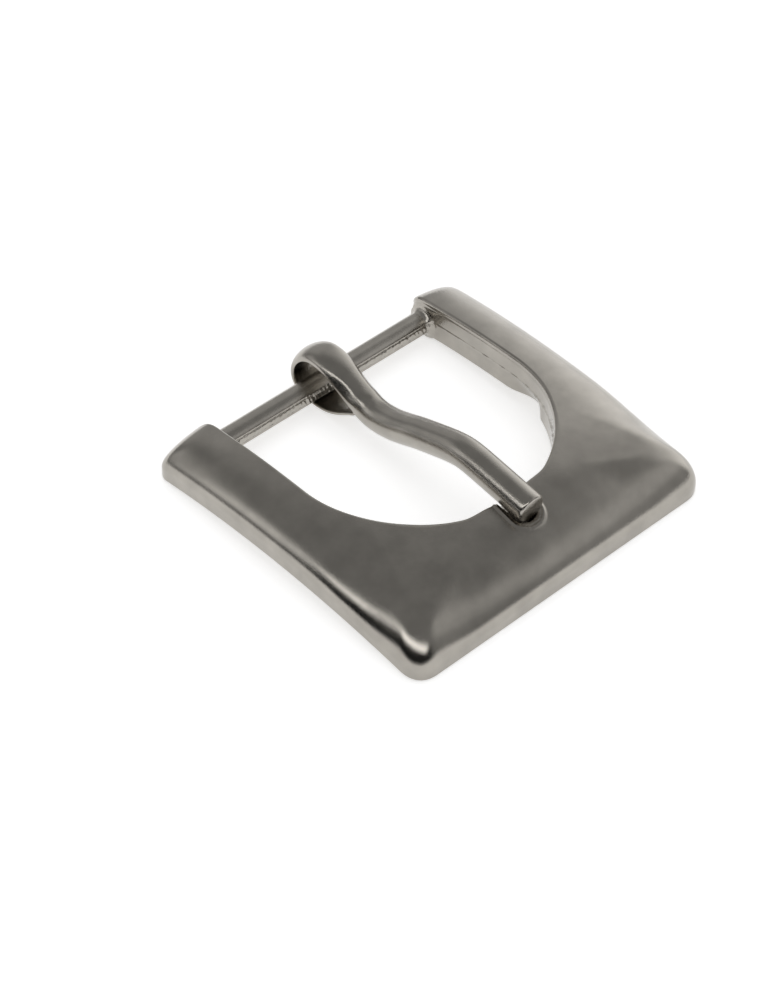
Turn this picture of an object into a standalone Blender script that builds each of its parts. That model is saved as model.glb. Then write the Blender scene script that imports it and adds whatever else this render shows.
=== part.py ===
"""A pin buckle for a belt: a cast frame, its hinge bar, and a prong that swings on the bar.

Metres, +Z up. The buckle lies face up on the plane Z = 0. The bar runs along X at the +Y end,
the front band with the seat for the prong is at the -Y end, and the prong lies along Y in the
plane X = 0. The origin is the middle of the whole buckle's footprint.
"""

import math

import bmesh
import bpy
from mathutils import Vector

MM = 0.001

# Driving dimensions.
STRAP_WIDTH = 35.0 * MM  # opening between the arms, one strap wide
ARM_WIDTH = 7.05 * MM  # each arm, half way along
SIDE_TAPER = 0.014  # how far each side leans outward towards the bar, per unit of length
FRAME_LENGTH = 47.6 * MM  # from the front band to the arms' free ends
EYE_OVERHANG = 0.9 * MM  # how far the prong's eye stands out behind the arms
ARCH_RADIUS = 150.0 * MM  # the frame is bent about X to follow the wearer's waist
ARM_WALL = 1.9 * MM  # plain outer wall of the arms, below the crowned top
CORNER_WALL = 0.9 * MM  # and at the front corners, where it is lowest
BAND_WALL = 1.8 * MM  # and at the middle of the front band
ARM_HEIGHT = 6.0 * MM  # section height at the arms' inner edge
BAND_HEIGHT = 6.4 * MM  # section height at the middle of the front band
BAR_DIAMETER = 3.2 * MM
BAR_HEIGHT = 2.6 * MM  # axis of the bar, above the ground
BAR_SET_BACK = 3.4 * MM  # axis of the bar, in front of the arms' free ends
SHANK_DIAMETER = 4.1 * MM
CLEARANCE = 0.3 * MM

# Places and sizes that follow from them.
FRONT_Y = -(FRAME_LENGTH + EYE_OVERHANG) / 2
REAR_Y = FRONT_Y + FRAME_LENGTH
MIDDLE_Y = (FRONT_Y + REAR_Y) / 2
OPENING_RADIUS = STRAP_WIDTH / 2  # the opening ends in a half circle
HALF_WIDTH = OPENING_RADIUS + ARM_WIDTH
ROUND_CENTRE_Y = FRONT_Y + 27.4 * MM  # where the opening's straight sides become round
BAR_Y = REAR_Y - BAR_SET_BACK
BAR_RADIUS = BAR_DIAMETER / 2
SHANK_RADIUS = SHANK_DIAMETER / 2

# Corners and edges.
FRONT_CORNER = 3.4 * MM
CORNER_POWER = 2.5  # superellipse exponent of the front corners
END_OUTER_CORNER = 2.2 * MM
END_INNER_CORNER = 2.4 * MM
END_ROLL = 3.6 * MM  # length over which the top rolls over at the arms' free ends
END_DROP = 0.62  # share of the height that the roll-over takes away
BROKEN_EDGE = 0.35 * MM  # round the underside
RIM_ROUND = 0.45 * MM  # the opening's upper edge
SHOULDER = 0.6 * MM  # how far the opening's edge stands in beside the seat
UNDERCUT = 1.15 * MM  # how far the opening's lower edge is cut back where the curve begins
CROWN_REACH = 10.5 * MM  # how far in from the outer wall the crowned top goes on rising
CORNER_REACH = 7.0 * MM  # and at the front corners
CROWN_POWER = 2.25  # superellipse exponent of the crowned top
TOP_FALL = 0.055  # outward slope of the top where the frame is widest
BAR_SIDES = 28
RING_SIDES = 20

# The prong from its blunt tip, up its shank, over the eye and down to the tail that closes it.
# Each row: forward of the bar's axis, above the ground, half the width, out to the crown, in to
# the inner face (all mm), and the superellipse exponent of the inner face.
PRONG = (
    (37.80, 8.27, 1.68, 1.62, 1.68, 2.0),
    (37.70, 8.28, 1.87, 1.80, 1.87, 2.0),
    (37.40, 8.31, 2.01, 1.92, 2.01, 2.0),
    (36.30, 8.42, 2.05, 1.95, 2.05, 2.0),
    (33.30, 8.77, 2.05, 1.95, 2.05, 2.0),
    (29.80, 9.13, 2.05, 1.98, 2.05, 2.0),
    (27.80, 9.30, 2.05, 2.00, 2.05, 2.0),
    (26.20, 9.27, 2.05, 2.02, 2.05, 2.0),
    (24.50, 8.92, 2.05, 2.05, 2.05, 2.0),
    (22.30, 8.22, 2.05, 2.05, 2.05, 2.0),
    (18.30, 6.77, 2.05, 2.05, 2.05, 2.0),
    (16.10, 5.83, 2.05, 2.05, 2.05, 2.0),
    (14.00, 5.00, 2.05, 2.05, 2.05, 2.0),
    (12.20, 4.52, 2.05, 2.05, 2.05, 2.0),
    (10.60, 4.32, 2.05, 2.05, 2.05, 2.0),
    (9.20, 4.45, 2.05, 2.05, 2.02, 2.0),
    (8.00, 4.92, 2.10, 1.90, 1.15, 2.6),
    (6.78, 5.52, 2.15, 1.55, 0.75, 3.4),
    (5.48, 6.20, 2.20, 1.38, 0.52, 4.0),
    (3.98, 6.85, 2.25, 1.28, 0.42, 4.0),
    (2.48, 7.35, 2.30, 1.18, 0.38, 4.0),
    (0.98, 7.58, 2.30, 1.14, 0.36, 4.0),
    (-0.42, 7.35, 2.30, 1.12, 0.36, 4.0),
    (-1.72, 6.55, 2.30, 1.10, 0.36, 4.0),
    (-2.72, 5.35, 2.30, 1.08, 0.36, 4.0),
    (-3.30, 4.00, 2.30, 1.02, 0.36, 4.0),
    (-3.34, 2.70, 2.28, 0.92, 0.36, 4.0),
    (-2.88, 1.60, 2.25, 0.78, 0.34, 4.0),
    (-1.92, 0.88, 2.20, 0.62, 0.30, 4.0),
    (-0.52, 0.60, 2.20, 0.50, 0.25, 4.0),
    (0.98, 0.56, 2.20, 0.46, 0.28, 4.0),
    (2.48, 0.76, 2.18, 0.50, 0.34, 4.0),
    (3.88, 1.25, 2.15, 0.54, 0.38, 4.0),
    (5.28, 2.00, 2.08, 0.56, 0.38, 4.0),
    (6.48, 2.78, 2.00, 0.54, 0.36, 4.0),
    (7.50, 3.36, 1.85, 0.48, 0.32, 4.0),
)
STEPS_PER_ROW = 2
SEAT_END = 39.0 * MM  # the seat's closed end, forward of the bar's axis
SEAT_MOUTH = 30.0 * MM


def clear_scene():
    for obj in list(bpy.data.objects):
        bpy.data.objects.remove(obj, do_unlink=True)


def nickel(name, colour, roughness):
    material = bpy.data.materials.new(name)
    material.use_nodes = True
    shader = material.node_tree.nodes["Principled BSDF"]
    shader.inputs["Base Color"].default_value = (*colour, 1.0)
    shader.inputs["Metallic"].default_value = 1.0
    shader.inputs["Roughness"].default_value = roughness
    return material


def loft(name, rings, material):
    """One closed body: rings with equally many points, each joined to the next, and flat ends."""
    bm = bmesh.new()
    rows = [[bm.verts.new(point) for point in ring] for ring in rings]
    count = len(rows[0])
    for row, following in zip(rows, rows[1:]):
        for i in range(count):
            j = (i + 1) % count
            bm.faces.new((row[i], row[j], following[j], following[i]))
    bm.faces.new(rows[0])
    bm.faces.new(rows[-1])
    bmesh.ops.recalc_face_normals(bm, faces=bm.faces)
    mesh = bpy.data.meshes.new(name)
    bm.to_mesh(mesh)
    bm.free()
    mesh.materials.append(material)
    mesh.shade_smooth()
    mesh.set_sharp_from_angle(angle=math.radians(35))
    obj = bpy.data.objects.new(name, mesh)
    bpy.context.scene.collection.objects.link(obj)
    return obj


def hang_on_pivot(obj, pivot):
    """Parents the piece to an empty on its joint's axis, leaving it where it is."""
    empty = bpy.data.objects.new(obj.name + "_pivot", None)
    empty.location = pivot
    bpy.context.scene.collection.objects.link(empty)
    obj.parent = empty
    obj.location = -Vector(pivot)


def smooth_step(value, low, high):
    """0 below the low limit, 1 above the high one, and a smooth rise between them."""
    share = min(1.0, max(0.0, (value - low) / (high - low)))
    return share * share * (3 - 2 * share)


def quarter_drop(beyond, radius):
    """How far a quarter-round edge falls away, a distance past the start of its rounding."""
    inside = min(max(beyond, 0.0), radius)
    return radius - math.sqrt(radius * radius - inside * inside)


def arch_height(y):
    """How far the bent underside stands above the ground."""
    foot = FRAME_LENGTH / 2 - BROKEN_EDGE
    from_middle = y - MIDDLE_Y
    return (foot * foot - from_middle * from_middle) / (2 * ARCH_RADIUS)


def side_x(y):
    return HALF_WIDTH + SIDE_TAPER * (y - MIDDLE_Y)


def right_half_outline():
    """The frame's outer edge, from the middle of the front to the right arm's free end."""
    corner_y = FRONT_Y + FRONT_CORNER
    corner_x = side_x(corner_y) - FRONT_CORNER
    points = [(corner_x * i / 12, FRONT_Y) for i in range(12)]
    for i in range(11):
        angle = math.radians(90 * i / 10)
        across = FRONT_CORNER * math.sin(angle) ** (2 / CORNER_POWER)
        ahead = FRONT_CORNER * abs(math.cos(angle)) ** (2 / CORNER_POWER)
        points.append((corner_x + across, corner_y - ahead))
    straight_end = REAR_Y - END_OUTER_CORNER
    for i in range(1, 29):
        y = corner_y + (straight_end - corner_y) * i / 28
        points.append((side_x(y), y))
    for i in range(1, 8):
        rise = END_OUTER_CORNER * math.sin(math.radians(90 * i / 7))
        set_back = quarter_drop(rise, END_OUTER_CORNER)
        points.append((side_x(straight_end) - set_back, straight_end + rise))
    return points


def inner_point(x, y):
    """The point of the opening's edge that faces a point of the outer edge."""
    if y < ROUND_CENTRE_Y:
        ray = Vector((x, y - ROUND_CENTRE_Y)).normalized() * OPENING_RADIUS
        shoulder = SHOULDER * (1 - smooth_step(abs(ray.x), 3 * MM, 7 * MM))
        return ray.x, ray.y + ROUND_CENTRE_Y + shoulder
    past = y - (REAR_Y - END_INNER_CORNER)
    return OPENING_RADIUS + quarter_drop(past, END_INNER_CORNER), y


def outer_wall(x, y):
    """Height of the plain outer wall, which is lowest at the front corners."""
    arm = smooth_step(y, FRONT_Y + 3 * MM, FRONT_Y + 19 * MM)
    band = 1 - smooth_step(x, 2 * MM, 20 * MM)
    return CORNER_WALL + (ARM_WALL - CORNER_WALL) * arm + (BAND_WALL - CORNER_WALL) * band


def crown_reach(x, y):
    """How far in from the outer wall the top goes on rising; it is least at the front corners."""
    from_corner = math.hypot(x - HALF_WIDTH, y - FRONT_Y)
    return CORNER_REACH + (CROWN_REACH - CORNER_REACH) * smooth_step(from_corner, MM, 10 * MM)


def undercut(y):
    """How far the opening's lower edge is cut back; it is nothing along most of the opening."""
    return UNDERCUT * smooth_step(y, -6.5 * MM, -2.2 * MM) * (1 - smooth_step(y, -1.8 * MM, 4.5 * MM))


def section(width, height, wall, reach, cut):
    """The frame's section as points: distance from the outer wall, and height."""
    points = [(BROKEN_EDGE, 0.0), (0.0, BROKEN_EDGE), (0.0, wall)]
    fall = TOP_FALL * smooth_step(width, ARM_WIDTH, 11 * MM)
    rim = width - RIM_ROUND
    crown_end = math.acos(max(0.0, 1 - rim / reach) ** (CROWN_POWER / 2))
    for share in (0.1, 0.2, 0.31, 0.43, 0.56, 0.7, 0.84, 0.95):
        angle = crown_end * share
        distance = reach * (1 - math.cos(angle) ** (2 / CROWN_POWER))
        top = height - fall * (width - distance)
        points.append((distance, wall + (top - wall) * math.sin(angle) ** (2 / CROWN_POWER)))
    edge = wall + (height - fall * RIM_ROUND - wall) * math.sin(crown_end) ** (2 / CROWN_POWER)
    points.append((rim, edge))
    points.append((width - 0.3 * RIM_ROUND, edge - 0.3 * RIM_ROUND))
    points.append((width, edge - RIM_ROUND))
    points.append((width, (edge - RIM_ROUND + BROKEN_EDGE) / 2))
    points.append((width - cut, BROKEN_EDGE))
    points.append((width - cut - BROKEN_EDGE, 0.0))
    return points


def frame_ring(x, y):
    """The section that starts at one point of the outer edge, in space."""
    outer = Vector((x, y))
    across = Vector(inner_point(x, y)) - outer
    width = across.length
    across.normalize()
    share = smooth_step(ROUND_CENTRE_Y - y, 0.0, ROUND_CENTRE_Y - FRONT_Y)
    height = ARM_HEIGHT + (BAND_HEIGHT - ARM_HEIGHT) * share
    past = (y - (REAR_Y - END_ROLL)) / END_ROLL
    end_height = height * (1 - END_DROP * quarter_drop(past, 1.0))
    foot_lift = quarter_drop(y - (REAR_Y - BROKEN_EDGE), BROKEN_EDGE)
    ring = []
    for distance, up in section(width, height, outer_wall(x, y), crown_reach(x, y), undercut(y)):
        place = outer + across * distance
        shrunk = foot_lift + up * (end_height - foot_lift) / height
        ring.append((place.x, place.y, arch_height(place.y) + shrunk))
    return ring


def catmull_rom(before, start, end, after, t):
    """A point of the smooth curve through start and end, a share t of the way between them."""
    values = []
    for p, q, r, s in zip(before, start, end, after):
        bend = (2 * p - 5 * q + 4 * r - s) * t + (3 * q - p - 3 * r + s) * t * t
        values.append(q + 0.5 * t * (r - p + bend))
    return values


def prong_stations():
    """The prong's rows with smooth steps between them, in metres but for the last value."""
    stations = []
    last = len(PRONG) - 1
    for i in range(last):
        rows = [PRONG[max(0, min(last, i + k))] for k in (-1, 0, 1, 2)]
        for step in range(STEPS_PER_ROW):
            stations.append(catmull_rom(*rows, step / STEPS_PER_ROW))
    stations.append(list(PRONG[-1]))
    return [[value * MM for value in row[:5]] + [row[5]] for row in stations]


def shank_centre(forward):
    """Height of the shank's centreline at a distance forward of the bar's axis."""
    straight = [row for row in PRONG if 29.0 < row[0] < 37.0]
    tip, rear = straight[0], straight[-1]
    slope = (rear[1] - tip[1]) / (rear[0] - tip[0])
    return (tip[1] + slope * (forward / MM - tip[0])) * MM


def make_seat_cutter():
    """The half-round groove, closed at its front end, that the prong's tip lies in."""
    radius = SHANK_RADIUS + CLEARANCE
    ball = SEAT_END - radius
    runs = [(SEAT_MOUTH + (ball - SEAT_MOUTH) * i / 3, radius) for i in range(4)]
    for degrees in (25, 50, 70, 85):
        angle = math.radians(degrees)
        runs.append((ball + radius * math.sin(angle), radius * math.cos(angle)))
    rings = []
    for forward, size in runs:
        ring = []
        for i in range(24):
            angle = math.radians(15 * i)
            z = shank_centre(forward) + size * math.sin(angle)
            ring.append((size * math.cos(angle), BAR_Y - forward, z))
        rings.append(ring)
    cutter = loft("seat_cutter", rings, nickel("cutter_grey", (0.5, 0.5, 0.5), 0.5))
    cutter.hide_render = True
    cutter.display_type = "WIRE"
    return cutter


def make_frame():
    rings = [frame_ring(x, y) for x, y in right_half_outline()]
    mirrored = [[(-x, y, z) for x, y, z in ring] for ring in reversed(rings[1:])]
    frame = loft("frame", mirrored + rings, nickel("frame_nickel", (0.46, 0.44, 0.42), 0.16))
    cut = frame.modifiers.new("seat", "BOOLEAN")
    cut.operation = "DIFFERENCE"
    cut.solver = "EXACT"
    cut.object = make_seat_cutter()


def make_hinge_bar():
    """The round bar across the arms, in one casting with them."""
    half = OPENING_RADIUS - CLEARANCE
    rings = []
    for x in (-half, half):
        ring = []
        for i in range(BAR_SIDES):
            angle = math.radians(360 * i / BAR_SIDES)
            y = BAR_Y + BAR_RADIUS * math.cos(angle)
            ring.append((x, y, BAR_HEIGHT + BAR_RADIUS * math.sin(angle)))
        rings.append(ring)
    loft("hinge_bar", rings, nickel("bar_nickel", (0.50, 0.48, 0.46), 0.24))


def prong_ring(place, along, half_width, outer, inner, power):
    """The prong's section across its path: round outside, round to flat inside."""
    outward = Vector((0.0, -along.z, along.y))
    ring = []
    for i in range(RING_SIDES):
        angle = math.radians(360 * (i + 0.5) / RING_SIDES)
        across, up = math.cos(angle), math.sin(angle)
        if up > 0:
            point = place + outward * (outer * up)
        else:
            across = math.copysign(abs(across) ** (2 / power), across)
            point = place - outward * (inner * abs(up) ** (2 / power))
        ring.append((half_width * across, point.y, point.z))
    return ring


def make_prong():
    stations = prong_stations()
    path = [Vector((0.0, BAR_Y - row[0], row[1])) for row in stations]
    rings = []
    for i, row in enumerate(stations):
        along = (path[min(i + 1, len(path) - 1)] - path[max(i - 1, 0)]).normalized()
        rings.append(prong_ring(path[i], along, *row[2:]))
    prong = loft("prong", rings, nickel("prong_nickel", (0.44, 0.42, 0.40), 0.14))
    hang_on_pivot(prong, (0.0, BAR_Y, BAR_HEIGHT))


clear_scene()
make_frame()
make_hinge_bar()
make_prong()
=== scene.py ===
"""The look of the pin buckle: dark nickel plate over a zinc casting, on a pale studio floor.

Metres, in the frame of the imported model: +X along the hinge bar, +Y from the front band to the
bar, +Z out of the buckle's face. Every place comes from the boxes of the three CAD nodes.
"""

import math

import bpy
from mathutils import Matrix, Vector, noise


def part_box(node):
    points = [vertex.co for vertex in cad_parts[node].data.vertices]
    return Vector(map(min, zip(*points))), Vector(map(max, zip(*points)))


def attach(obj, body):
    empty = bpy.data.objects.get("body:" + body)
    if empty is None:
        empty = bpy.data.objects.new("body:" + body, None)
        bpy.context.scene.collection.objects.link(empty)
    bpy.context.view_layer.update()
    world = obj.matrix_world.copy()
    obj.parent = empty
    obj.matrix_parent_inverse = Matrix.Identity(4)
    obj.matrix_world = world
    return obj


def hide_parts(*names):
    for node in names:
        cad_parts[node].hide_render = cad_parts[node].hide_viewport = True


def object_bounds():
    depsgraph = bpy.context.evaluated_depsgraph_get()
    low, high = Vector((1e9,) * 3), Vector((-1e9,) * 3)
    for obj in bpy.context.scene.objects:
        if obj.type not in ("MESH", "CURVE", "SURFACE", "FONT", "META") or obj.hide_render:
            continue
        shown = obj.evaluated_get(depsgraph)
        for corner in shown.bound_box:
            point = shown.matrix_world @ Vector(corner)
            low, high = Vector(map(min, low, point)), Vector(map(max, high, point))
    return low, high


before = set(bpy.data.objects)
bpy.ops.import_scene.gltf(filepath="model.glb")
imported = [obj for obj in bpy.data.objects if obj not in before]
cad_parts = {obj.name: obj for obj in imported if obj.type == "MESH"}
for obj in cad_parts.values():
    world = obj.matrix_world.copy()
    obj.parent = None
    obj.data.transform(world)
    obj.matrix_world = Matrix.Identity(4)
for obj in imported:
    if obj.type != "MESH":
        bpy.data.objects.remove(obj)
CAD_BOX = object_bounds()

MM = 0.001

# The CAD model's own places.
FRAME_LOW, FRAME_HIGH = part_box("frame")
BAR_LOW, BAR_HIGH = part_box("hinge_bar")
FRONT_Y, REAR_Y = FRAME_LOW.y, FRAME_HIGH.y
LENGTH = REAR_Y - FRONT_Y
MIDDLE_Y = (FRONT_Y + REAR_Y) / 2
BAR_Y = (BAR_LOW.y + BAR_HIGH.y) / 2
BAR_Z = (BAR_LOW.z + BAR_HIGH.z) / 2
BAR_RADIUS = (BAR_HIGH.z - BAR_LOW.z) / 2
CAD_GAP = 0.3 * MM  # left by the CAD between the bar and the arms
OPENING_RADIUS = BAR_HIGH.x + CAD_GAP  # half of the strap's width
SIDE_TAPER = 0.014  # how far each side leans outward, per unit of length
END_OUTER_CORNER = 2.2 * MM
REAR_HALF_WIDTH = FRAME_HIGH.x
HALF_WIDTH = REAR_HALF_WIDTH - SIDE_TAPER * (LENGTH / 2 - END_OUTER_CORNER)
ROUND_CENTRE_Y = FRONT_Y + 27.4 * MM  # where the opening's straight sides become round

# Shape of the casting's section and edges.
ARCH_RADIUS = 150.0 * MM  # the whole frame is bent about X
ARM_WALL = 1.9 * MM  # upright part of the outer wall
CORNER_WALL = 0.9 * MM
BAND_WALL = 1.8 * MM
ARM_WALL_FROM, ARM_WALL_TO = 3 * MM, 19 * MM  # behind the front edge, where the arms' wall rises
BAND_WALL_FROM, BAND_WALL_TO = 2 * MM, 20 * MM  # beside the middle, where the band's wall falls
CROWN_REACH = 10.5 * MM  # how far in from the outer wall the crown would go on rising
CORNER_REACH = 7.0 * MM  # and at the front corners
CORNER_NEAR, CORNER_FAR = 1 * MM, 10 * MM  # distances from the corner between which it grows
TOP_FALL = 0.055  # outward slope of the wide parts of the top, between crown and opening
NARROW, WIDE = 7.2 * MM, 11 * MM  # widths of the section between which that slope appears
ARM_HEIGHT = 6.0 * MM
BAND_HEIGHT = 6.4 * MM
FRONT_CORNER = 3.4 * MM
CORNER_POWER = 2.5  # superellipse exponent of the front corners
END_INNER_CORNER = 2.4 * MM
END_DROP = 0.62  # share of the height that the roll-over takes away
END_POWER = 2.0
END_TOP_ROUND = 3.6 * MM  # how long the roll-over at each arm's free end is
FOOT_EDGE = 0.35 * MM
RIM_ROUND = 0.42 * MM
CROWN_POWER = 2.25  # superellipse exponent of the crown
SHOULDER = 0.6 * MM  # how far the opening's edge stands in beside the seat
SHOULDER_FROM, SHOULDER_TO = 3.0 * MM, 7.0 * MM  # beside the middle, where it fades
UNDERCUT = 1.15 * MM  # how far the foot of the opening's wall is cut back
UNDERCUT_RISE = (-6.5 * MM, -2.2 * MM)  # along Y
UNDERCUT_FADE = (-1.8 * MM, 4.5 * MM)

# What the mould left on the opening's wall.
FLASH_HEIGHT = 0.09 * MM
FLASH_WIDTH = 0.08 * MM
FLASH_PATCHES = 900  # noise scale, per metre
GROOVE_DEPTH = 0.07 * MM
GROOVE_WIDTH = 0.16 * MM
GROOVE_BELOW_RIM = 0.3 * MM

# Points along each stretch of the casting's section, and steps along its outline.
UNDERSIDE_POINTS = 12
EDGE_STEPS = 4
WALL_STEPS = 8
CROWN_STEPS = 60
TOP_STEPS = 30
RIM_STEPS = 6
INNER_WALL_STEPS = 48
SEAT_SIDE = 6.0 * MM  # the outline is finest up to here, beside the seat
SEAT_SIDE_STEPS = 60
BAND_STEPS = 36
CORNER_STEPS = 40
ARM_STEPS = 90
END_STEPS = 24

# The prong's seat, forward of the bar's axis.
SHANK_RADIUS = 2.05 * MM
SEAT_RADIUS = SHANK_RADIUS + 0.17 * MM
SEAT_END = 38.75 * MM
TIP_FORWARD, TIP_HEIGHT = 37.8 * MM, 8.27 * MM  # centre of the prong's tip
SHANK_SLOPE = 0.108  # how fast the straight part of the shank rises from its tip
LIP_WIDTH = 0.34 * MM
LIP_HEIGHT = 0.16 * MM
SEAT_EDGE = 0.18 * MM  # fillet between the groove and the top
NO_SEAT = 4 * MM  # above the shank, where there is no groove

# The bar's ends, and the rough land on its front and back.
BAR_EMBED = 0.25 * MM  # how deep the bar's ends stand in the arms
BAR_FILLET = 0.9 * MM
FILLET_LUMPS = 0.3  # share of the fillet
LUMP_SCALE = 1500  # noise scales, per metre
TEAR_SCALE = 2600
TEAR_PITCH = 0.1 * MM
TEAR_SLANT = 5
TEAR_HEIGHT = 0.045 * MM
LAND_RISE = 0.04  # sine of the angle by which the land's middle stands above the axis
LAND_HALF = 0.38  # and of half the angle that it spans
LAND_FADE = 0.06
LAND_DEPTH = 0.1 * MM
BAR_SIDES = 96
BAR_STEPS = 560

# The flat that runs along each side of the prong's neck.
NECK = 5.6 * MM  # its middle, forward of the bar's axis
NECK_LENGTH = 2.6 * MM
FLAT_TILT = math.radians(37)  # how far it faces up
FLAT_DEPTH = 0.2 * MM  # how far it cuts into the round section
FLAT_CLEAR = 0.1 * MM  # how far outside the round section it lies, away from the neck
FLAT_BLEND = 0.12 * MM
PRONG_STEPS = 8  # between two rows of the table
PRONG_SIDES = 56

# The prong from its blunt tip over the eye to its tail, as in the CAD: forward of the bar's
# axis, above the ground, half width, out to the crown, in to the inner face (mm), and power.
PRONG = (
    (37.80, 8.27, 1.68, 1.62, 1.68, 2.0),
    (37.70, 8.28, 1.87, 1.80, 1.87, 2.0),
    (37.40, 8.31, 2.01, 1.92, 2.01, 2.0),
    (36.30, 8.42, 2.05, 1.95, 2.05, 2.0),
    (33.30, 8.77, 2.05, 1.95, 2.05, 2.0),
    (29.80, 9.13, 2.05, 1.98, 2.05, 2.0),
    (27.80, 9.30, 2.05, 2.00, 2.05, 2.0),
    (26.20, 9.27, 2.05, 2.02, 2.05, 2.0),
    (24.50, 8.92, 2.05, 2.05, 2.05, 2.0),
    (22.30, 8.22, 2.05, 2.05, 2.05, 2.0),
    (18.30, 6.77, 2.05, 2.05, 2.05, 2.0),
    (16.10, 5.83, 2.05, 2.05, 2.05, 2.0),
    (14.00, 5.00, 2.05, 2.05, 2.05, 2.0),
    (12.20, 4.52, 2.05, 2.05, 2.05, 2.0),
    (10.60, 4.32, 2.05, 2.05, 2.05, 2.0),
    (9.20, 4.45, 2.05, 2.05, 2.02, 2.0),
    (8.00, 4.92, 2.10, 1.90, 1.15, 2.6),
    (6.78, 5.52, 2.15, 1.55, 0.75, 3.4),
    (5.48, 6.20, 2.20, 1.38, 0.52, 4.0),
    (3.98, 6.85, 2.25, 1.28, 0.42, 4.0),
    (2.48, 7.35, 2.30, 1.18, 0.38, 4.0),
    (0.98, 7.58, 2.30, 1.14, 0.36, 4.0),
    (-0.42, 7.35, 2.30, 1.12, 0.36, 4.0),
    (-1.72, 6.55, 2.30, 1.10, 0.36, 4.0),
    (-2.72, 5.35, 2.30, 1.08, 0.36, 4.0),
    (-3.30, 4.00, 2.30, 1.02, 0.36, 4.0),
    (-3.34, 2.70, 2.28, 0.92, 0.36, 4.0),
    (-2.88, 1.60, 2.25, 0.78, 0.34, 4.0),
    (-1.92, 0.88, 2.20, 0.62, 0.30, 4.0),
    (-0.52, 0.60, 2.20, 0.50, 0.25, 4.0),
    (0.98, 0.56, 2.20, 0.46, 0.28, 4.0),
    (2.48, 0.76, 2.18, 0.50, 0.34, 4.0),
    (3.88, 1.25, 2.15, 0.54, 0.38, 4.0),
    (5.28, 2.00, 2.08, 0.56, 0.38, 4.0),
    (6.48, 2.78, 2.00, 0.54, 0.36, 4.0),
    (7.50, 3.36, 1.85, 0.48, 0.32, 4.0),
)

# Camera: it looks down at the front left corner, held very slightly askew.
CAMERA_AIM = Vector((-5.06, 2.37, -2.08)) * MM
CAMERA_DISTANCE = 330.0 * MM
CAMERA_AZIMUTH = -42.74
CAMERA_ELEVATION = 45.75
CAMERA_ROLL = 0.67
CAMERA_LENS = 95.28  # mm, on the default 36 mm sensor


# ---------------------------------------------------------------- small shape helpers


def smooth_step(value, low, high):
    t = min(1.0, max(0.0, (value - low) / (high - low)))
    return t * t * (3 - 2 * t)


def quarter_drop(beyond, radius):
    inside = min(max(beyond, 0.0), radius)
    return radius - math.sqrt(radius * radius - inside * inside)


def bell(offset, width):
    return math.exp(-((offset / width) ** 2))


def smooth_min(a, b, blend):
    """The lower of two heights, with a fillet where they cross."""
    share = min(1.0, max(0.0, 0.5 + (b - a) / (2 * blend)))
    return b + (a - b) * share - blend * share * (1 - share)


def catmull_rom(before, start, end, after, t):
    values = []
    for p, q, r, s in zip(before, start, end, after):
        bend = (2 * p - 5 * q + 4 * r - s) * t + (3 * q - p - 3 * r + s) * t * t
        values.append(q + 0.5 * t * (r - p + bend))
    return values


def skin(name, rings, material, closed_ends=True):
    """A smooth closed mesh from equal rings of points, each joined to the next."""
    count = len(rings[0])
    points = [point for ring in rings for point in ring]
    faces = []
    for i in range(len(rings) - 1):
        for j in range(count):
            k = (j + 1) % count
            faces.append((i * count + j, i * count + k, (i + 1) * count + k, (i + 1) * count + j))
    if closed_ends:
        faces.append(tuple(reversed(range(count))))
        faces.append(tuple(range(len(points) - count, len(points))))
    mesh = bpy.data.meshes.new(name)
    mesh.from_pydata(points, [], faces)
    mesh.materials.append(material)
    mesh.shade_smooth()
    obj = bpy.data.objects.new(name, mesh)
    bpy.context.scene.collection.objects.link(obj)
    turn_outward(obj)
    return obj


def turn_outward(obj):
    """Turns every face round if the closed mesh encloses a negative volume."""
    mesh = obj.data
    mesh.calc_loop_triangles()
    volume = 0.0
    for triangle in mesh.loop_triangles:
        a, b, c = (mesh.vertices[i].co for i in triangle.vertices)
        volume += a.dot(b.cross(c))
    if volume < 0:
        mesh.flip_normals()


# ---------------------------------------------------------------- frame


def arch_height(y):
    foot = LENGTH / 2 - FOOT_EDGE
    return (foot * foot - (y - MIDDLE_Y) ** 2) / (2 * ARCH_RADIUS)


def side_x(y):
    return HALF_WIDTH + SIDE_TAPER * (y - MIDDLE_Y)


def right_half_outline():
    """The casting's outer edge, finely stepped, from the middle of the front to the arm's end."""
    corner_y = FRONT_Y + FRONT_CORNER
    corner_x = side_x(corner_y) - FRONT_CORNER
    points = [(SEAT_SIDE * i / SEAT_SIDE_STEPS, FRONT_Y) for i in range(SEAT_SIDE_STEPS)]
    for i in range(BAND_STEPS):
        points.append((SEAT_SIDE + (corner_x - SEAT_SIDE) * i / BAND_STEPS, FRONT_Y))
    for i in range(CORNER_STEPS + 1):
        angle = math.radians(90 * i / CORNER_STEPS)
        across = FRONT_CORNER * math.sin(angle) ** (2 / CORNER_POWER)
        ahead = FRONT_CORNER * abs(math.cos(angle)) ** (2 / CORNER_POWER)
        points.append((corner_x + across, corner_y - ahead))
    straight_end = REAR_Y - END_OUTER_CORNER
    for i in range(1, ARM_STEPS + 1):
        y = corner_y + (straight_end - corner_y) * i / ARM_STEPS
        points.append((side_x(y), y))
    for i in range(1, END_STEPS + 1):
        rise = END_OUTER_CORNER * math.sin(math.radians(90 * i / END_STEPS))
        set_back = quarter_drop(rise, END_OUTER_CORNER)
        points.append((side_x(straight_end) - set_back, straight_end + rise))
    return points


def shoulder(x):
    """How far the opening's edge stands in towards the bar, on both sides of the seat."""
    return SHOULDER * (1 - smooth_step(abs(x), SHOULDER_FROM, SHOULDER_TO))


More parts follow.
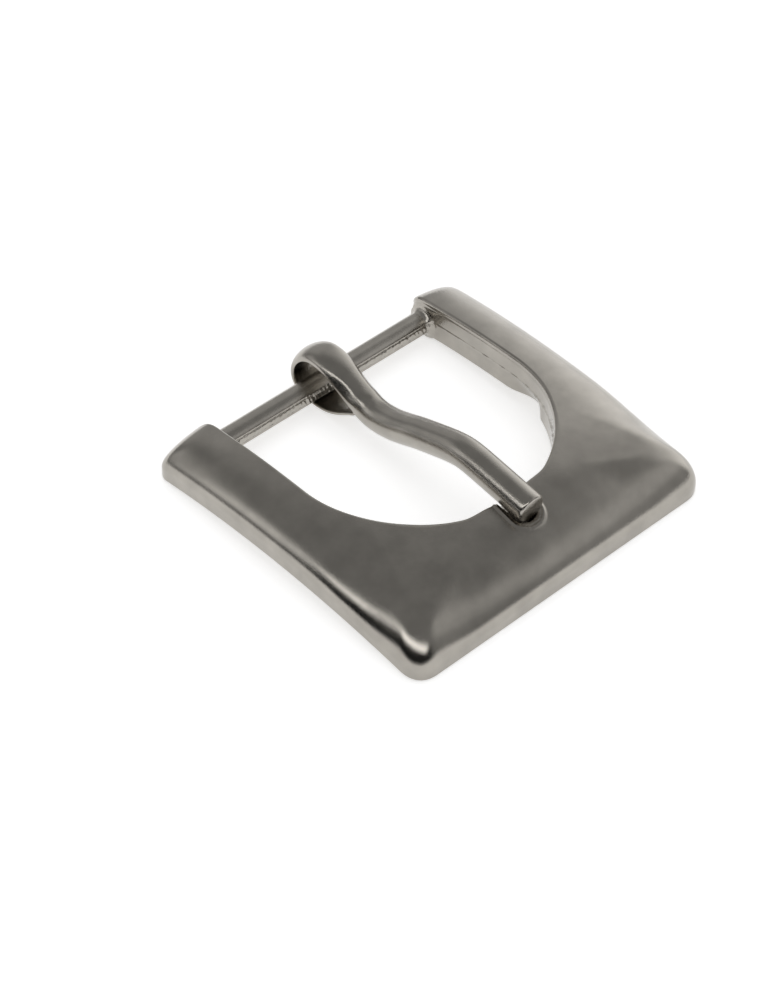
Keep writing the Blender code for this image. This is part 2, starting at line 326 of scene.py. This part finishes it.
def inner_point(x, y):
    """The point of the opening's edge that faces a point of the outer edge."""
    if y < ROUND_CENTRE_Y:
        ray = Vector((x, y - ROUND_CENTRE_Y)).normalized() * OPENING_RADIUS
        return Vector((ray.x, ray.y + ROUND_CENTRE_Y + shoulder(ray.x)))
    past = y - (REAR_Y - END_INNER_CORNER)
    return Vector((OPENING_RADIUS + quarter_drop(past, END_INNER_CORNER), y))


def seat_height(x, y):
    """Height of the groove's bottom at a place, or a great height outside it."""
    forward = BAR_Y - y
    ball = SEAT_END - SEAT_RADIUS
    past = max(0.0, forward - ball)
    room = SEAT_RADIUS**2 - x * x - past * past
    centre = TIP_HEIGHT + (TIP_FORWARD - forward) * SHANK_SLOPE
    if room <= 0:
        return centre + NO_SEAT
    return centre - math.sqrt(room)


def seat_lip(x, y):
    """The narrow raised band round the seat."""
    past = max(0.0, BAR_Y - y - (SEAT_END - SEAT_RADIUS))
    outside = math.hypot(x, past) - SEAT_RADIUS
    return LIP_HEIGHT * bell(outside - LIP_WIDTH / 2, LIP_WIDTH / 2)


def undercut(y):
    """How far the foot of the opening's wall is cut back where the opening begins to close."""
    return UNDERCUT * smooth_step(y, *UNDERCUT_RISE) * (1 - smooth_step(y, *UNDERCUT_FADE))


def wall_height(x, y):
    """The upright outer wall is lowest at the front corners."""
    arm = smooth_step(y, FRONT_Y + ARM_WALL_FROM, FRONT_Y + ARM_WALL_TO)
    band = 1 - smooth_step(x, BAND_WALL_FROM, BAND_WALL_TO)
    return CORNER_WALL + (ARM_WALL - CORNER_WALL) * arm + (BAND_WALL - CORNER_WALL) * band


def crown_reach(x, y):
    """The crown's reach is least at the front corners."""
    from_corner = math.hypot(x - HALF_WIDTH, y - FRONT_Y)
    growth = smooth_step(from_corner, CORNER_NEAR, CORNER_FAR)
    return CORNER_REACH + (CROWN_REACH - CORNER_REACH) * growth


class Section:
    """The casting's section that starts at one point of its outer edge."""

    def __init__(self, x, y):
        self.x, self.y = x, y
        self.outer = Vector((x, y))
        self.inward = inner_point(x, y) - self.outer
        self.width = self.inward.length
        self.inward.normalize()
        share = smooth_step(ROUND_CENTRE_Y - y, 0.0, ROUND_CENTRE_Y - FRONT_Y)
        self.height = ARM_HEIGHT + (BAND_HEIGHT - ARM_HEIGHT) * share
        self.foot_lift = quarter_drop(y - (REAR_Y - FOOT_EDGE), FOOT_EDGE)
        past = min(1.0, max(0.0, (y - (REAR_Y - END_TOP_ROUND)) / END_TOP_ROUND))
        roll = 1 - END_DROP * (1 - (1 - past**END_POWER) ** (1 / END_POWER))
        self.squash = (self.height * roll - self.foot_lift) / self.height
        self.wall = wall_height(x, y)
        self.reach = crown_reach(x, y)
        self.fall = TOP_FALL * smooth_step(self.width, NARROW, WIDE)
        self.cut = undercut(y)

    def place(self, distance, up):
        """The point in space at a distance in from the outer wall and a height in the section."""
        p = self.outer + self.inward * distance
        return (p.x, p.y, arch_height(p.y) + self.foot_lift + up * self.squash)

    def top(self, distance):
        """The point of the finished top surface, seat included."""
        t = 1 - min(1.0, distance / self.reach)
        up = (1 - t**CROWN_POWER) ** (1 / CROWN_POWER)
        top = self.height - self.fall * (self.width - distance)
        p = self.place(distance, self.wall + (top - self.wall) * up)
        raised = p[2] + seat_lip(p[0], p[1])
        return (p[0], p[1], smooth_min(raised, seat_height(p[0], p[1]), SEAT_EDGE))

    def underside(self):
        under = self.width - self.cut - 2 * FOOT_EDGE
        steps = range(UNDERSIDE_POINTS, 0, -1)
        return [self.place(FOOT_EDGE + under * i / UNDERSIDE_POINTS, 0.0) for i in steps]

    def outer_wall(self):
        points = []
        for i in range(EDGE_STEPS + 1):
            angle = math.radians(90 * i / EDGE_STEPS)
            back, up = FOOT_EDGE * (1 - math.sin(angle)), FOOT_EDGE * (1 - math.cos(angle))
            points.append(self.place(back, up))
        for i in range(1, WALL_STEPS):
            points.append(self.place(0.0, FOOT_EDGE + (self.wall - FOOT_EDGE) * i / WALL_STEPS))
        return points

    def crown(self):
        last = self.width - RIM_ROUND
        full = math.acos(max(0.0, 1 - last / self.reach) ** (CROWN_POWER / 2))
        distances = []
        for i in range(CROWN_STEPS):
            angle = full * (i / CROWN_STEPS)
            distances.append(self.reach * (1 - math.cos(angle) ** (2 / CROWN_POWER)))
        start = self.reach * (1 - math.cos(full * (CROWN_STEPS - 1) / CROWN_STEPS) ** (2 / CROWN_POWER))
        distances += [start + (last - start) * i / TOP_STEPS for i in range(1, TOP_STEPS + 1)]
        return [self.top(distance) for distance in distances]

    def rim(self, edge):
        points = []
        for i in range(1, RIM_STEPS + 1):
            angle = math.radians(90 * i / RIM_STEPS)
            p = self.place(self.width - RIM_ROUND * (1 - math.sin(angle)), 0.0)
            points.append((p[0], p[1], edge - RIM_ROUND * (1 - math.cos(angle))))
        return points

    def inner_wall(self, wall_top):
        """The opening's wall, with its flash at the parting line and the groove under the rim."""
        wall_low = self.place(self.width, FOOT_EDGE)[2]
        patch = noise.noise(Vector((self.x, self.y, 0.0)) * FLASH_PATCHES)
        patchy = 0.5 + smooth_step(patch, -0.2, 0.2)
        parting = wall_low + 0.5 * (wall_top - wall_low)
        points = []
        for i in range(1, INNER_WALL_STEPS + 1):
            z = wall_top + (wall_low - wall_top) * i / INNER_WALL_STEPS
            below = max(0.0, (parting - z) / (parting - wall_low))
            flash = FLASH_HEIGHT * bell(z - parting, FLASH_WIDTH) * patchy
            groove = GROOVE_DEPTH * bell(z - wall_top + GROOVE_BELOW_RIM, GROOVE_WIDTH)
            p = self.place(self.width - self.cut * below + flash - groove, 0.0)
            points.append((p[0], p[1], z))
        return points

    def inner_foot(self):
        points = []
        for i in range(1, EDGE_STEPS + 1):
            angle = math.radians(90 * i / EDGE_STEPS)
            inside = self.width - self.cut - FOOT_EDGE * (1 - math.cos(angle))
            points.append(self.place(inside, FOOT_EDGE * (1 - math.sin(angle))))
        return points

    def ring(self):
        """All points of the section, once round."""
        edge = self.top(self.width - RIM_ROUND)[2]
        ring = self.underside() + self.outer_wall() + self.crown()
        return ring + self.rim(edge) + self.inner_wall(edge - RIM_ROUND) + self.inner_foot()


def make_frame(material):
    right = [Section(x, y).ring() for x, y in right_half_outline()]
    left = [[(-x, y, z) for x, y, z in ring] for ring in reversed(right[1:])]
    casting = skin("frame_casting", left + right, material)
    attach(casting, "frame")
    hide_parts("frame")


# ---------------------------------------------------------------- hinge bar


def bar_surface(x, across, up):
    """Radius of the cast bar at a place along it, in a direction seen from its axis."""
    to_wall = max(0.0, OPENING_RADIUS - abs(x))
    flare = quarter_drop(BAR_FILLET - to_wall, BAR_FILLET)
    spot = Vector((x, across * MM, up * MM))
    off_land = abs(up - LAND_RISE)
    land = 1 - smooth_step(off_land, LAND_HALF, LAND_HALF + LAND_FADE)
    torn = 0.6 * math.sin(x / TEAR_PITCH + TEAR_SLANT * up) + 2.2 * noise.noise(spot * TEAR_SCALE)
    radius = BAR_RADIUS + flare + land * (TEAR_HEIGHT * torn - LAND_DEPTH)
    radius -= LAND_DEPTH * bell(off_land - (LAND_HALF - 0.02), LAND_FADE)
    return radius + flare * FILLET_LUMPS * noise.noise(spot * LUMP_SCALE)


def make_hinge_bar(material):
    """The cast bar, with fillets into the arms and a rough land where the mould halves met."""
    half = OPENING_RADIUS + BAR_EMBED
    rings = []
    for i in range(BAR_STEPS + 1):
        x = -half + 2 * half * i / BAR_STEPS
        ring = []
        for k in range(BAR_SIDES):
            angle = 2 * math.pi * k / BAR_SIDES
            across, up = math.cos(angle), math.sin(angle)
            radius = bar_surface(x, across, up)
            ring.append((x, BAR_Y + radius * across, BAR_Z + radius * up))
        rings.append(ring)
    bar = skin("hinge_bar_casting", rings, material)
    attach(bar, "frame")
    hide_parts("hinge_bar")


# ---------------------------------------------------------------- prong


def prong_stations(steps):
    """The table's rows with smooth steps between them, in metres but for the last value."""
    stations = []
    last = len(PRONG) - 1
    for i in range(last):
        rows = [PRONG[max(0, min(last, i + k))] for k in (-1, 0, 1, 2)]
        stations += [catmull_rom(*rows, step / steps) for step in range(steps)]
    stations.append(list(PRONG[-1]))
    return [[value * MM for value in row[:5]] + [row[5]] for row in stations]


def neck_flat(place, half_width, outer):
    """Distance from the section's middle to the flat on each side of the neck."""
    full = math.hypot(half_width * math.cos(FLAT_TILT), outer * math.sin(FLAT_TILT))
    if place.z < BAR_Z + BAR_RADIUS:
        return 2 * full
    near = bell(BAR_Y - place.y - NECK, NECK_LENGTH)
    return full + FLAT_CLEAR - (FLAT_DEPTH + FLAT_CLEAR) * near


def prong_ring(place, along, half_width, outer, inner, power):
    """The prong's section across its path: round outside, round to flat inside."""
    outward = Vector((0.0, -along.z, along.y))
    flat = neck_flat(place, half_width, outer)
    ring = []
    for i in range(PRONG_SIDES):
        angle = 2 * math.pi * (i + 0.5) / PRONG_SIDES
        across, up = math.cos(angle), math.sin(angle)
        if up > 0:
            facing = half_width * abs(across) * math.cos(FLAT_TILT) + outer * up * math.sin(FLAT_TILT)
            kept = smooth_min(facing, flat, FLAT_BLEND) / facing
            across *= kept
            point = place + outward * (outer * up * kept)
        else:
            across = math.copysign(abs(across) ** (2 / power), across)
            point = place - outward * (inner * abs(up) ** (2 / power))
        ring.append((half_width * across, point.y, point.z))
    return ring


def make_prong(material):
    stations = prong_stations(PRONG_STEPS)
    path = [Vector((0.0, BAR_Y - row[0], row[1])) for row in stations]
    rings = []
    for i, row in enumerate(stations):
        along = (path[min(i + 1, len(path) - 1)] - path[max(i - 1, 0)]).normalized()
        rings.append(prong_ring(path[i], along, *row[2:]))
    prong = skin("prong_body", rings, material)
    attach(prong, "prong")
    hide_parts("prong")


# ---------------------------------------------------------------- materials


FRAME_NICKEL = (0.37, 0.349, 0.315)
BAR_NICKEL = (0.40, 0.378, 0.342)


def new_material(name):
    material = bpy.data.materials.new(name)
    material.use_nodes = True
    nodes = material.node_tree.nodes
    return material, nodes, material.node_tree.links, nodes["Principled BSDF"]


def nickel(name, colour, roughness, grain):
    """Dark nickel plate with slightly uneven tone and gloss, and a fine grain."""
    material, nodes, links, shader = new_material(name)
    shader.inputs["Metallic"].default_value = 1.0
    place = nodes.new("ShaderNodeTexCoord")

    cloud = nodes.new("ShaderNodeTexNoise")
    cloud.inputs["Scale"].default_value = 320.0
    cloud.inputs["Detail"].default_value = 5.0
    links.new(place.outputs["Object"], cloud.inputs["Vector"])
    tone = nodes.new("ShaderNodeValToRGB")
    tone.color_ramp.elements[0].position = 0.3
    tone.color_ramp.elements[0].color = (*[c * 0.9 for c in colour], 1)
    tone.color_ramp.elements[1].position = 0.7
    tone.color_ramp.elements[1].color = (*[c * 1.08 for c in colour], 1)
    links.new(cloud.outputs["Fac"], tone.inputs["Fac"])
    links.new(tone.outputs["Color"], shader.inputs["Base Color"])

    gloss = nodes.new("ShaderNodeMapRange")
    gloss.inputs["From Min"].default_value = 0.3
    gloss.inputs["From Max"].default_value = 0.7
    gloss.inputs["To Min"].default_value = roughness * 0.8
    gloss.inputs["To Max"].default_value = roughness * 1.3
    links.new(cloud.outputs["Fac"], gloss.inputs["Value"])
    links.new(gloss.outputs["Result"], shader.inputs["Roughness"])

    grit = nodes.new("ShaderNodeTexNoise")
    grit.inputs["Scale"].default_value = 8000.0
    grit.inputs["Detail"].default_value = 3.0
    links.new(place.outputs["Object"], grit.inputs["Vector"])
    bump = nodes.new("ShaderNodeBump")
    bump.inputs["Distance"].default_value = grain
    links.new(grit.outputs["Fac"], bump.inputs["Height"])
    links.new(bump.outputs["Normal"], shader.inputs["Normal"])
    return material


def floor_material():
    material, nodes, links, shader = new_material("studio_paper")
    shader.inputs["Roughness"].default_value = 0.9
    shader.inputs["Specular IOR Level"].default_value = 0.1
    shader.inputs["Emission Color"].default_value = (1, 1, 1, 1)
    shader.inputs["Emission Strength"].default_value = 0.55
    fibre = nodes.new("ShaderNodeTexNoise")
    fibre.inputs["Scale"].default_value = 60.0
    place = nodes.new("ShaderNodeTexCoord")
    links.new(place.outputs["Object"], fibre.inputs["Vector"])
    tone = nodes.new("ShaderNodeValToRGB")
    tone.color_ramp.elements[0].color = (0.86, 0.86, 0.86, 1)
    tone.color_ramp.elements[1].color = (0.9, 0.9, 0.9, 1)
    links.new(fibre.outputs["Fac"], tone.inputs["Fac"])
    links.new(tone.outputs["Color"], shader.inputs["Base Color"])
    return material


# ---------------------------------------------------------------- studio


def make_floor():
    mesh = bpy.data.meshes.new("studio_floor")
    side = 3.0
    mesh.from_pydata(
        [(-side, -side, 0), (side, -side, 0), (side, side, 0), (-side, side, 0)], [], [(0, 1, 2, 3)]
    )
    mesh.materials.append(floor_material())
    floor = bpy.data.objects.new("studio_floor", mesh)
    floor.location.z = CAD_BOX[0].z
    bpy.context.scene.collection.objects.link(floor)


def math_node(tree, operation, first, second=None, clamp=False):
    """A math node whose inputs are numbers or other nodes' outputs; returns its output."""
    node = tree.nodes.new("ShaderNodeMath")
    node.operation = operation
    node.use_clamp = clamp
    for socket, value in zip(node.inputs, (first, second)):
        if value is None:
            continue
        if isinstance(value, (int, float)):
            socket.default_value = value
        else:
            tree.links.new(value, socket)
    return node.outputs[0]


def between(tree, value, low, high, softness):
    """1 where a value lies between two others, fading to 0 over the softness at both."""
    rise = math_node(tree, "DIVIDE", math_node(tree, "SUBTRACT", value, low - softness / 2), softness)
    fall = math_node(tree, "DIVIDE", math_node(tree, "SUBTRACT", high + softness / 2, value), softness)
    return math_node(tree, "MINIMUM", rise, fall, clamp=True)


# Lit walls of the tent: azimuth from, to and softness, elevation from, to and softness
# (degrees, azimuth from +X towards +Y), and brightness.
WALLS = (
    ((40, 92, 12), (-20, 48, 18), 0.50),
    ((20, 62, 12), (-20, 58, 10), 0.52),
    ((-32, 46, 8), (-20, 52, 4), 0.56),  # the wall on the bright side of the room
    ((-26, 34, 20), (-20, 32, 40), 1.40),  # its window
    ((14, 42, 10), (-20, 8, 12), 1.30),
    ((104, 141, 8), (9, 36, 10), 0.60),
    ((136, 157, 6), (15, 37, 8), 0.98),
    ((157, 178, 6), (27, 37, 6), 0.90),
    ((-66, -26, 8), (-20, 22, 8), 0.42),
    ((-66, -26, 8), (22, 47, 8), 0.62),
    ((157, 278, 6), (-9, 30, 3), 0.03),  # the dark room behind the camera
)
TENT_TOP = 0.29
STRIP_TILT = 46  # degrees from upright of the plane through the buckle and the strip light
STRIP_AZIMUTH = -150  # where the strip light stands highest, above the camera
STRIP_BRIGHTNESS = 2.5
STRIP_HALF_WIDTH = 0.11  # sine of the angle from the plane
STRIP_ENDS = (-0.62, 0.74)  # sines of the angles from its highest point
STRIP_SOFTNESS = 0.03
TENT_RADIUS = 0.2
TENT_ROWS = 24
TENT_COLUMNS = 48


def strip_light(tree, direction):
    """1 inside a long straight softbox that crosses the sky above the camera."""
    tilt, turn = math.radians(STRIP_TILT), math.radians(STRIP_AZIMUTH)
    upright = (-math.cos(tilt) * math.cos(turn), -math.cos(tilt) * math.sin(turn), math.sin(tilt))
    lengthways = (-math.sin(turn), math.cos(turn), 0.0)
    inside = None
    for axis, low, high in ((upright, -STRIP_HALF_WIDTH, STRIP_HALF_WIDTH), (lengthways, *STRIP_ENDS)):
        along = tree.nodes.new("ShaderNodeVectorMath")
        along.operation = "DOT_PRODUCT"
        tree.links.new(direction, along.inputs[0])
        along.inputs[1].default_value = axis
        part = between(tree, along.outputs["Value"], low, high, STRIP_SOFTNESS)
        inside = part if inside is None else math_node(tree, "MULTIPLY", inside, part)
    return inside


def tent_material():
    """What the metal mirrors: a grey tent with lit walls, one strip light and a dark side."""
    material = bpy.data.materials.new("light_tent")
    material.use_nodes = True
    tree = material.node_tree
    tree.nodes.clear()
    place = tree.nodes.new("ShaderNodeTexCoord")
    unit = tree.nodes.new("ShaderNodeVectorMath")
    unit.operation = "NORMALIZE"
    tree.links.new(place.outputs["Object"], unit.inputs[0])
    split = tree.nodes.new("ShaderNodeSeparateXYZ")
    tree.links.new(unit.outputs[0], split.inputs[0])
    to_degrees = 180 / math.pi
    azimuth = math_node(tree, "ARCTAN2", split.outputs["Y"], split.outputs["X"])
    azimuth = math_node(tree, "MULTIPLY", azimuth, to_degrees)
    elevation = math_node(tree, "ARCSINE", split.outputs["Z"])
    elevation = math_node(tree, "MULTIPLY", elevation, to_degrees)
    level = TENT_TOP
    spots = []
    for (left, right, side_softness), (low, high, softness), brightness in WALLS:
        turned = math_node(tree, "SUBTRACT", azimuth, (left + right) / 2)
        turned = math_node(tree, "WRAP", turned, 180.0)
        turned.node.inputs[2].default_value = -180.0
        across = between(tree, turned, (left - right) / 2, (right - left) / 2, side_softness)
        inside = math_node(tree, "MULTIPLY", across, between(tree, elevation, low, high, softness))
        spots.append((inside, brightness))
    spots.append((strip_light(tree, unit.outputs[0]), STRIP_BRIGHTNESS))
    for inside, brightness in spots:
        change = math_node(tree, "SUBTRACT", brightness, level)
        level = math_node(tree, "ADD", level, math_node(tree, "MULTIPLY", inside, change))
    glow = tree.nodes.new("ShaderNodeEmission")
    tree.links.new(level, glow.inputs["Strength"])
    out = tree.nodes.new("ShaderNodeOutputMaterial")
    tree.links.new(glow.outputs[0], out.inputs["Surface"])
    return material


def make_tent():
    """A dome round the buckle that only its mirror-like surfaces see."""
    points = []
    for i in range(TENT_ROWS):
        up = math.pi / 2 * i / TENT_ROWS
        for k in range(TENT_COLUMNS):
            turn = 2 * math.pi * k / TENT_COLUMNS
            level = TENT_RADIUS * math.cos(up)
            points.append((level * math.cos(turn), level * math.sin(turn), TENT_RADIUS * math.sin(up)))
    points.append((0.0, 0.0, TENT_RADIUS))
    crown = len(points) - 1
    faces = []
    for k in range(TENT_COLUMNS):
        following = (k + 1) % TENT_COLUMNS
        for i in range(TENT_ROWS - 1):
            a, b = i * TENT_COLUMNS + k, i * TENT_COLUMNS + following
            faces.append((a, b, b + TENT_COLUMNS, a + TENT_COLUMNS))
        top_row = (TENT_ROWS - 1) * TENT_COLUMNS
        faces.append((top_row + k, top_row + following, crown))
    mesh = bpy.data.meshes.new("light_tent")
    mesh.from_pydata(points, [], faces)
    mesh.materials.append(tent_material())
    tent = bpy.data.objects.new("light_tent", mesh)
    bpy.context.scene.collection.objects.link(tent)
    tent.visible_camera = False
    tent.visible_diffuse = False
    tent.visible_shadow = False


def make_lights():
    world = bpy.data.worlds.new("studio_air")
    world.use_nodes = True
    world.node_tree.nodes["Background"].inputs["Color"].default_value = (1, 1, 1, 1)
    world.node_tree.nodes["Background"].inputs["Strength"].default_value = 0.55
    bpy.context.scene.world = world
    lamp = bpy.data.lights.new("overhead_softbox", "AREA")
    lamp.shape = "DISK"
    lamp.size = 0.7
    lamp.energy = 0.8
    light = bpy.data.objects.new("overhead_softbox", lamp)
    light.location = (0.1, 0.15, 0.7)
    light.rotation_euler = (Vector((0, 0, 0)) - light.location).to_track_quat("-Z", "Y").to_euler()
    light.visible_glossy = False
    bpy.context.scene.collection.objects.link(light)


def make_camera():
    azimuth, elevation = math.radians(CAMERA_AZIMUTH), math.radians(CAMERA_ELEVATION)
    back = Vector((
        math.sin(azimuth) * math.cos(elevation),
        -math.cos(azimuth) * math.cos(elevation),
        math.sin(elevation),
    ))
    data = bpy.data.cameras.new("camera")
    data.lens = CAMERA_LENS
    data.clip_start = 0.01
    camera = bpy.data.objects.new("camera", data)
    roll = Matrix.Rotation(math.radians(CAMERA_ROLL), 3, "Z")
    camera.rotation_euler = (back.to_track_quat("Z", "Y").to_matrix() @ roll).to_euler()
    camera.location = CAMERA_AIM + back * CAMERA_DISTANCE
    bpy.context.scene.collection.objects.link(camera)
    bpy.context.scene.camera = camera


bpy.context.scene.view_settings.view_transform = "Standard"
make_camera()
make_floor()
make_tent()
make_lights()
make_frame(nickel("frame_nickel_plate", FRAME_NICKEL, roughness=0.1, grain=0.016 * MM))
make_hinge_bar(nickel("bar_nickel_plate", BAR_NICKEL, roughness=0.16, grain=0.02 * MM))
make_prong(nickel("prong_nickel_plate", FRAME_NICKEL, roughness=0.15, grain=0.02 * MM))
